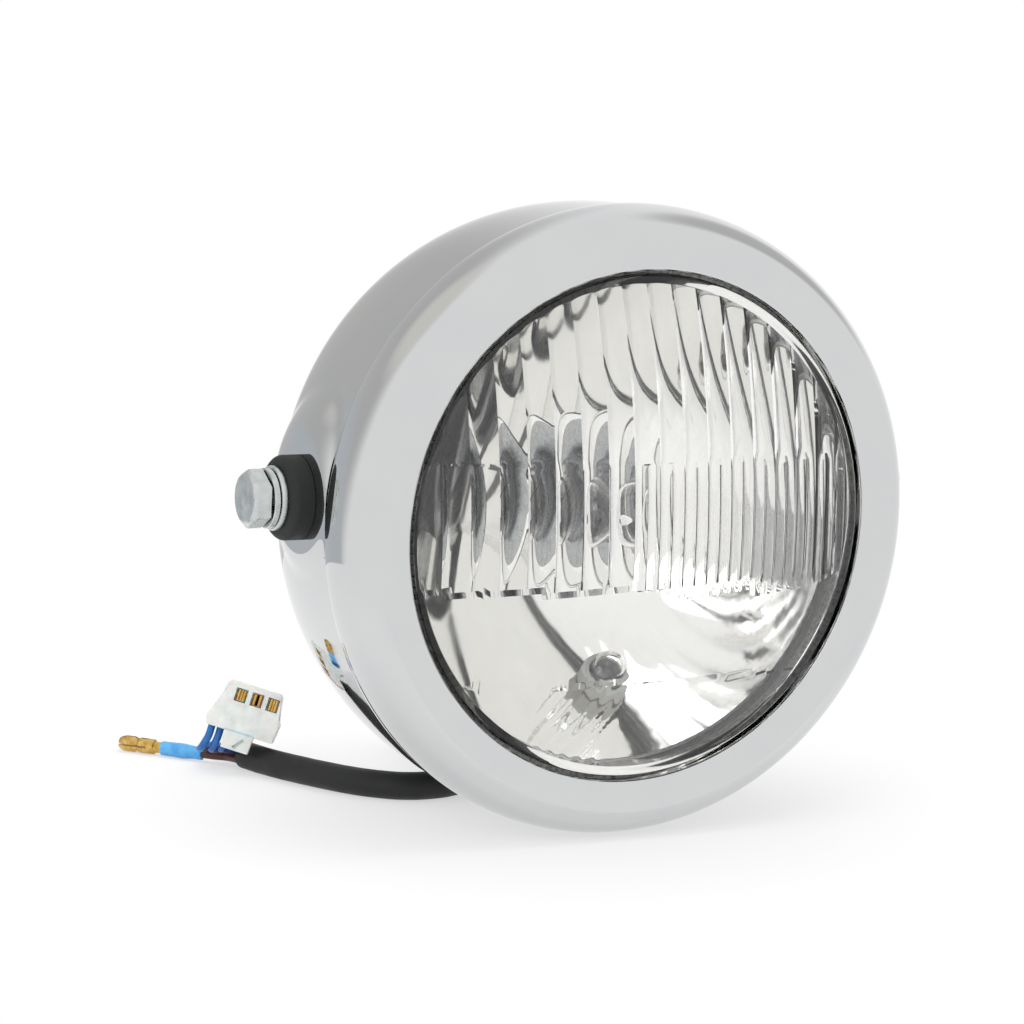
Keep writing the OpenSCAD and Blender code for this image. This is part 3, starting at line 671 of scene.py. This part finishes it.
def make_bulbs():
    glass = capsule(0, 0, 90) + [(CAPSULE_R, 46.9), (CAPSULE_R - 0.9, 46.9)] + capsule(-0.9, 90, 0)
    turned("bulb_glass", glass, LAMP, quartz, ["bulb_glass"], steps=64)
    nub = [(0, 12.6), (0.5, 12.65), (0.9, 12.9), (1.2, 13.4), (1.33, 14.105), (0, 14)]
    turned("bulb_tip", nub, LAMP, quartz, ["bulb_tip"], steps=32)


def parking_frame():
    """The small bulb's frame: Z points into the lamp, square to the mirror."""
    radius = math.hypot(5, 45)
    tilt = math.atan(radius / (2 * FOCAL))
    return (LAMP @ Matrix.Rotation(-math.atan2(5, 45), 4, "Z")
            @ Matrix.Translation((0, radius, mirror_depth(radius)))
            @ Matrix.Rotation(math.pi - tilt, 4, "X"))


def make_parking_lamp():
    place = parking_frame()
    holder = rounded([(4.4, 1), (4.4, 5.8, 0.5), (5.2, 6, 0.5), (5.3, 5, 0.4), (6.2, 5, 0.6),
                      (6.2, 0.6, 0.4), (5.2, 0.6), (5.2, -1.4), (7, -1.4, 0.5), (7, -7, 0.6), (0, -7),
                      (0, 1)])
    turned("parking_holder", holder, place, white_rubber, ["parking_holder"], steps=64)

    def nose(radius):
        return [(radius * math.cos(a), 8 + radius * math.sin(a))
                for a in (math.radians(90 * k / 14) for k in range(15))]

    turned("parking_bulb", [(3.5, 1), (4.1, 1)] + nose(4.1) + nose(3.5)[::-1], place, quartz,
           ["parking_bulb"], steps=48)
    stem = rounded([(0, 1), (3.3, 1), (3.3, 3.4, 0.8), (1.6, 4.6, 0.6), (0, 4.8)])
    turned("parking_stem", stem, place, quartz, [], steps=32)


make_reflector()
make_bulbs()
make_parking_lamp()


# --- side bolts
def hex_head(bm, af, height, flat_r, at):
    """A forged hex head: six sides with soft corners, and a chamfer that cuts them in arcs."""
    steps = 16 * 6

    def reach(a, soft=0.25):
        a = (a + math.pi / 6) % (math.pi / 3) - math.pi / 6
        straight = af / 2 / math.cos(math.pi / 6 - abs(a))
        return straight - soft * max(0.0, 1 - abs(a) / 0.12) ** 2 * 0.6

    rings = []
    for level in range(7):
        ring = []
        for k in range(steps):
            a = 2 * math.pi * k / steps
            corner = reach(a)
            fall = (corner - flat_r) * 0.62
            side_top = height - max(fall, 0)
            rho, z = [(corner - 0.35, 0), (corner, 0.35), (corner, side_top - 0.25),
                      (corner - 0.22, side_top + 0.1), (flat_r + 0.3, height - 0.12),
                      (flat_r - 0.35, height), (0, height)][level]
            ring.append(bm.verts.new((rho * math.cos(a), rho * math.sin(a), at + z)))
        rings.append(ring)
    for low, high in zip(rings, rings[1:]):
        join(bm, low, high)
    bm.faces.new(rings[0][::-1])


def split_ring(bm, inner, outer, thickness, at, gap=5.0, rise=0.45):
    """A split spring washer: a square-edged ring whose ends have sprung apart."""
    steps = 90
    rings = []
    for k in range(steps + 1):
        share = k / steps
        a = math.radians(160 + gap + (360 - 2 * gap) * share)
        lift = rise * (share - 0.5)
        section = [(inner + 0.15, 0), (outer - 0.25, 0), (outer, 0.25), (outer, thickness - 0.25),
                   (outer - 0.25, thickness), (inner + 0.15, thickness), (inner, thickness - 0.2),
                   (inner, 0.2)]
        middle = thickness / 2
        level = at + middle + lift
        rings.append([bm.verts.new((r * math.cos(a), r * math.sin(a), level + (z - middle) * 0.76))
                      for r, z in section])
    for low, high in zip(rings, rings[1:]):
        join(bm, low, high)
    bm.faces.new(rings[0][::-1])
    bm.faces.new(rings[-1])


def make_side_mount(side, name):
    place = side_frame(side)
    bm = bmesh.new()
    hex_head(bm, 13, 4.8, 5.8, 9.6)
    turn(bm, rounded([(0, -9), (4, -9, 0.6), (4, 9.8), (0, 9.8)]), 48)
    piece(name + "_bolt", mesh_of(bm, name + "_bolt", place), zinc, [name + "_bolt"], 32)
    bm = bmesh.new()
    split_ring(bm, 4.15, 7.4, 2.0, 7.6)
    piece(name + "_spring_washer", mesh_of(bm, name + "_spring_washer", place), zinc,
          [name + "_spring_washer"], 32)
    washer = rounded([(4.2, 6.0, 0.2), (8, 6.0, 0.35), (8, 7.6, 0.5), (4.2, 7.6, 0.3)])
    turned(name + "_washer", washer, place, zinc, [name + "_washer"], steps=96)
    collar = rounded([(HOLE_R, 0), (10.5, 0, 0.3), (10.5, 4.8, 0.9), (9.3, 6.0, 0.6), (HOLE_R, 6.0)])
    turned(name + "_collar", collar, place, black_rubber, [name + "_collar"], steps=128)


make_side_mount(-1, "left")
make_side_mount(1, "right")


# --- cords
def tube_tree():
    """Geometry nodes that sweep a round tube along a route, smoothed into one curve."""
    tree = bpy.data.node_groups.new("swept_tube", "GeometryNodeTree")
    face = tree.interface
    face.new_socket("Geometry", in_out="INPUT", socket_type="NodeSocketGeometry")
    for name, kind, value in (("Radius", "NodeSocketFloat", 0.0012), ("Spacing", "NodeSocketFloat", 0.001),
                              ("Sides", "NodeSocketInt", 24), ("Caps", "NodeSocketBool", True),
                              ("Crinkle", "NodeSocketFloat", 0.0), ("Material", "NodeSocketMaterial", None)):
        socket = face.new_socket(name, in_out="INPUT", socket_type=kind)
        if value is not None:
            socket.default_value = value
    face.new_socket("Geometry", in_out="OUTPUT", socket_type="NodeSocketGeometry")
    given = add(tree, "NodeGroupInput").outputs
    line = add(tree, "GeometryNodeMeshToCurve", {"Mesh": given["Geometry"]})
    smooth = add(tree, "GeometryNodeCurveSplineType", {"Curve": line.outputs[0]}, spline_type="CATMULL_ROM")
    fine = add(tree, "GeometryNodeSetSplineResolution", {0: smooth.outputs[0], "Resolution": 16})
    even = add(tree, "GeometryNodeResampleCurve", {"Curve": fine.outputs[0], "Length": given["Spacing"]},
               mode="LENGTH")
    circle = add(tree, "GeometryNodeCurvePrimitiveCircle", {"Resolution": given["Sides"],
                                                            "Radius": given["Radius"]})
    swept = add(tree, "GeometryNodeCurveToMesh", {"Curve": even.outputs[0], "Fill Caps": given["Caps"],
                                                  "Profile Curve": circle.outputs[0]})
    noise = add(tree, "ShaderNodeTexNoise", {"Scale": 260.0, "Detail": 1.0})
    lift = add(tree, "ShaderNodeMath", {0: noise.outputs[0], 1: 1.0}, operation="SUBTRACT")
    inward = add(tree, "ShaderNodeMath", {0: lift.outputs[0], 1: given["Crinkle"]}, operation="MULTIPLY")
    normal = add(tree, "GeometryNodeInputNormal")
    push = add(tree, "ShaderNodeVectorMath", {0: normal.outputs[0], "Scale": inward.outputs[0]},
               operation="SCALE")
    creased = add(tree, "GeometryNodeSetPosition", {"Geometry": swept.outputs[0], "Offset": push.outputs[0]})
    real = add(tree, "GeometryNodeRealizeInstances", {0: creased.outputs[0]})
    dressed = add(tree, "GeometryNodeSetMaterial", {"Geometry": real.outputs[0],
                                                    "Material": given["Material"]})
    tree.links.new(dressed.outputs[0], add(tree, "NodeGroupOutput").inputs[0])
    return tree


TUBE = tube_tree()


def swept(name, route, radius, material, slot_name, nodes, sides=24, spacing=0.001, wall=0.0, crinkle=0.0):
    """A cord or wire along its route; wall leaves its ends open, as on a sleeve."""
    line = bpy.data.meshes.new(name)
    line.from_pydata([Vector(p) for p in route], [(i, i + 1) for i in range(len(route) - 1)], [])
    inputs = {"Radius": radius, "Spacing": spacing, "Sides": sides, "Caps": not wall, "Crinkle": crinkle,
              "Material": material}
    mesh = baked(name, line, TUBE, inputs, wall)
    bm = bmesh.new()
    bm.from_mesh(mesh)
    bmesh.ops.remove_doubles(bm, verts=bm.verts, dist=1e-6)
    bmesh.ops.recalc_face_normals(bm, faces=bm.faces)
    bm.to_mesh(mesh)
    bm.free()
    return piece(name, mesh, material, nodes, sharp=50)


sleeve = swept("sleeve", SLEEVE_ROUTE, 0.0037, black_pvc, "black_pvc", ["sleeve"], sides=40,
               spacing=0.0012, wall=0.0006, crinkle=0.00012)
brown_wire = swept("brown_wire", BROWN_ROUTE, 0.0012, brown_pvc, "brown_pvc", ["brown_wire"])
blue_wires = [swept(name, route, 0.001, blue_pvc, "blue_pvc", [name]) for name, route in BLUE_ROUTES.items()]


def bullet_frame():
    end = Vector((-70, 75.6, -82.35))
    return Matrix.Translation(end) @ Matrix.Rotation(math.atan2(17.8, -15.7), 4, "Z") @ Matrix.Rotation(
        math.pi / 2, 4, "Y")


def make_bullet():
    place = bullet_frame()
    crimp = rounded([(0, 0), (1.75, 0, 0.2), (1.75, 3.2, 0.8), (2.1, 5.6, 1.2), (1.95, 8, 1.2),
                     (1.9, 12.2, 0.3), (0, 12.2)])
    crimp_sleeve = turned("crimp_sleeve", crimp, place, light_blue_pvc,
                          ["crimp_sleeve"], steps=48)
    body = rounded([(0, 0), (1.5, 0), (1.5, 1.8, 0.2), (2.05, 2.2, 0.2), (2.05, 6.4, 0.2), (1.8, 6.9, 0.2),
                    (1.8, 7.4, 0.2), (2.15, 8, 0.3), (2.15, 11.0, 0.9), (1.5, 12.6, 0.5), (0, 12.6)])
    tip = place @ Matrix.Translation((0, 0, 12.2))
    bullet = turned("bullet", body, tip, brass, ["bullet"], steps=48, sharp=35)
    cut_with(bullet, [box_mesh((-3, -0.25, 4), (3, 0.25, 14), tip, "slot"),
                      box_mesh((-0.25, -3, 4), (0.25, 3, 14), tip, "slot")])
    return crimp_sleeve, bullet


def box_mesh(low, high, place, name):
    bm = bmesh.new()
    bmesh.ops.create_cube(bm, size=1)
    middle = (Vector(low) + Vector(high)) / 2
    size = Vector(high) - Vector(low)
    bm.transform(Matrix.Translation(middle) @ Matrix.Diagonal((*size, 1)))
    return mesh_of(bm, name, place)


def cut_with(obj, cutters):
    """Cuts closed meshes out of a piece, for good."""
    for mesh in cutters:
        tool = bpy.data.objects.new("cutter", mesh)
        bpy.context.scene.collection.objects.link(tool)
        modifier = obj.modifiers.new("cut", "BOOLEAN")
        modifier.operation = "DIFFERENCE"
        modifier.object = tool
        modifier.solver = "EXACT"
        evaluated = obj.evaluated_get(bpy.context.evaluated_depsgraph_get())
        result = bpy.data.meshes.new_from_object(evaluated)
        obj.modifiers.remove(modifier)
        obj.data = result
        bpy.data.objects.remove(tool)
    obj.data.shade_smooth()
    obj.data.set_sharp_from_angle(angle=math.radians(32))


crimp_sleeve, bullet = make_bullet()


# --- three-way plug
PLUG_BODY = [(8.9, 4.7), (9.4, 10), (8.4, 11.2), (7.9, 17.2), (7.3, 17.9), (-6.2, 17.9), (-6.9, 17.2),
             (-7.5, 12.8), (-10, 7.2), (-9.4, 4.7)]
PLUG_TAB = [(-3.9, 0), (3.6, 0), (3.9, 5.2), (-4.3, 5.2)]
WINDOWS = (-2.7, 1.7, 6.1)


def plug_frame():
    return (Matrix.Translation((-65.7, 55.9, -78.5)) @ Matrix.Rotation(math.radians(-28), 4, "Z")
            @ Matrix.Rotation(math.radians(78), 4, "X") @ Matrix.Rotation(math.radians(-14.8), 4, "Z")
            @ Matrix.Translation((-3.6, 0, -3.5)))


def make_plug():
    place = plug_frame()
    bm = bmesh.new()
    prism(bm, PLUG_BODY, -3.5, 3.5)
    prism(bm, PLUG_TAB, 1.0, 3.5)
    bmesh.ops.bevel(bm, geom=list(bm.edges), offset=0.35, segments=3, affect="EDGES", profile=0.6)
    plug = piece("plug_housing", mesh_of(bm, "plug_housing", place), nylon,
                 ["plug_housing"], 32)
    cutters = [box_mesh((u - 1.6, 12.7, 1.5), (u + 1.6, 16.3, 4.5), place, "window") for u in WINDOWS]
    slot_place = place @ Matrix.Translation((-1, 1, 2.5)) @ Matrix.Rotation(math.radians(-40), 4, "Z")
    cutters.append(box_mesh((0, 0, 0), (0.9, 3.4, 3), slot_place, "latch_slot"))
    cut_with(plug, cutters)
    return plug


def make_terminals():
    """Rolled brass receptacles behind the plug's windows: a floor with two curled edges each."""
    def curl(radius):
        return [(0.75 + radius * math.cos(a), 0.6 + radius * math.sin(a))
                for a in (math.radians(15 * k) for k in range(14))]

    place = plug_frame()
    bm = bmesh.new()
    for u in WINDOWS:
        right = [(0.0, 0.0), (1.25, 0.0)] + curl(0.5) + curl(0.22)[::-1] + [(0.97, 0.28), (0.0, 0.28)]
        for mirror_x in (1, -1):
            low = [bm.verts.new((u + mirror_x * x, 13.0, 1.55 + z)) for x, z in right]
            high = [bm.verts.new((u + mirror_x * x, 16.0, 1.55 + z)) for x, z in right]
            bm.faces.new(low)
            bm.faces.new(high[::-1])
            join(bm, low, high)
    bmesh.ops.recalc_face_normals(bm, faces=bm.faces)
    return piece("plug_terminals", mesh_of(bm, "plug_terminals", place, recalc=False), brass,
                 ["plug_terminals"], 40)


plug = make_plug()
terminals = make_terminals()


# --- grommet and the CAD parts that stay
STAYING = {"rim_hook": spring_steel, "rim_screw": zinc, "rim_nut": zinc, "lens_seal": sealant,
           "lens_sealant": sealant, "unit_clips": spring_steel, "bulb_filament": tungsten,
           "bulb_cap": painted_shade_nickel,
           "bulb_spring": spring_steel, "bulb_connector": black_nylon, "dust_boot": black_rubber,
           "inner_loom": black_pvc, "left_nut": zinc, "right_nut": zinc, "grommet": black_rubber}
for node_name, material in STAYING.items():
    for material_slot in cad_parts[node_name].material_slots:
        material_slot.material = material


# --- stage and light
def make_floor():
    """A round white table; near the lamp it takes a light shadow, and its edge melts into the white."""
    bm = bmesh.new()
    bmesh.ops.create_circle(bm, cap_ends=True, segments=96, radius=300)
    floor = bpy.data.objects.new("floor", mesh_of(bm, "floor", Matrix.Translation((0, 0, FLOOR_Z - 0.02))))
    bpy.context.scene.collection.objects.link(floor)
    material = bpy.data.materials.new("white_table")
    material.use_nodes = True
    tree = material.node_tree
    shader = next(n for n in tree.nodes if n.type == "BSDF_PRINCIPLED")
    shader.inputs["Base Color"].default_value = linear("#F4F4F4")
    shader.inputs["Roughness"].default_value = 0.9
    shader.inputs["Specular IOR Level"].default_value = 0.0
    out = next(n for n in tree.nodes if n.type == "OUTPUT_MATERIAL")
    place = add(tree, "ShaderNodeTexCoord").outputs["Object"]
    flat = add(tree, "ShaderNodeVectorMath", {0: place, 1: (1.0, 1.0, 0.0)}, operation="MULTIPLY")
    far = add(tree, "ShaderNodeVectorMath", {0: flat.outputs[0]}, operation="LENGTH")
    fade = add(tree, "ShaderNodeMapRange",
               {"Value": far.outputs["Value"], "From Min": 0.12, "From Max": 0.26, "To Min": 0.55},
               interpolation_type="SMOOTHSTEP")
    path = add(tree, "ShaderNodeLightPath")
    seen = add(tree, "ShaderNodeMath", {0: path.outputs["Is Camera Ray"], 1: path.outputs["Is Glossy Ray"]},
               operation="ADD")
    seen = add(tree, "ShaderNodeMath", {0: seen.outputs[0], 1: path.outputs["Is Transmission Ray"]},
               operation="ADD", use_clamp=True)
    share = add(tree, "ShaderNodeMath", {0: seen.outputs[0], 1: fade.outputs[0]}, operation="MULTIPLY")
    white = add(tree, "ShaderNodeEmission", {"Color": (1, 1, 1, 1), "Strength": 1.0})
    mixed = add(tree, "ShaderNodeMixShader", {"Fac": share.outputs[0], 1: shader.outputs[0],
                                              2: white.outputs[0]})
    tree.links.new(mixed.outputs[0], out.inputs["Surface"])
    floor.data.materials.append(material)


# Soft patches of the studio that chrome and glass mirror: direction, half-width where it ends and where
# it is full, in degrees, and colour.
STUDIO = [
    ((-0.3, 0.87, 0.2), 52, 26, "#C8C8C7"),
    ((-0.46, 0.87, -0.16), 26, 16, "#C9CDD2"),
    ((-0.445, 0.548, 0.708), 22, 6, "#E9E7E2"),
    ((0.75, 0.2, 0.55), 30, 12, "#CFCFCD"),
]


def make_world():
    world = bpy.data.worlds.new("studio")
    bpy.context.scene.world = world
    world.use_nodes = True
    tree = world.node_tree
    background = next(n for n in tree.nodes if n.type == "BACKGROUND")
    out = next(n for n in tree.nodes if n.type == "OUTPUT_WORLD")
    toward = add(tree, "ShaderNodeTexCoord").outputs["Generated"]
    colour = add(tree, "ShaderNodeRGB").outputs[0]
    colour.default_value = linear("#FFFFFF")
    for direction, outer, inner, text in STUDIO:
        aim = tuple(Vector(direction).normalized())
        near = add(tree, "ShaderNodeVectorMath", {0: toward, 1: aim}, operation="DOT_PRODUCT")
        mask = add(tree, "ShaderNodeMapRange", {"Value": near.outputs["Value"],
                   "From Min": math.cos(math.radians(outer)), "From Max": math.cos(math.radians(inner))},
                   interpolation_type="SMOOTHSTEP")
        mix = add(tree, "ShaderNodeMix", {"Factor": mask.outputs[0], "A": colour}, data_type="RGBA")
        mix.inputs[7].default_value = linear(text)
        tree.links.new(colour, mix.inputs[6])
        colour = mix.outputs[2]
    tree.links.new(colour, background.inputs["Color"])
    background.inputs["Strength"].default_value = 1.0
    white = add(tree, "ShaderNodeBackground", {"Color": (1, 1, 1, 1), "Strength": 1.0})
    seen = add(tree, "ShaderNodeLightPath").outputs["Is Camera Ray"]
    mixed = add(tree, "ShaderNodeMixShader", {"Fac": seen, 1: background.outputs[0], 2: white.outputs[0]})
    tree.links.new(mixed.outputs[0], out.inputs["Surface"])


def softbox(name, place, aim, size, power):
    light = bpy.data.lights.new(name, "AREA")
    light.shape = "RECTANGLE"
    light.size, light.size_y = size
    light.energy = power
    obj = bpy.data.objects.new(name, light)
    bpy.context.scene.collection.objects.link(obj)
    obj.location = place
    obj.rotation_euler = (Vector(aim) - Vector(place)).to_track_quat("-Z", "Y").to_euler()
    obj.visible_glossy = False


make_floor()
make_world()
softbox("overhead", (0.1, 0.0, 1.1), (0, 0, 0), (0.9, 0.9), 4.5)
softbox("left_front", (-0.9, -0.7, 0.7), (0, 0, 0), (0.5, 0.5), 2.0)
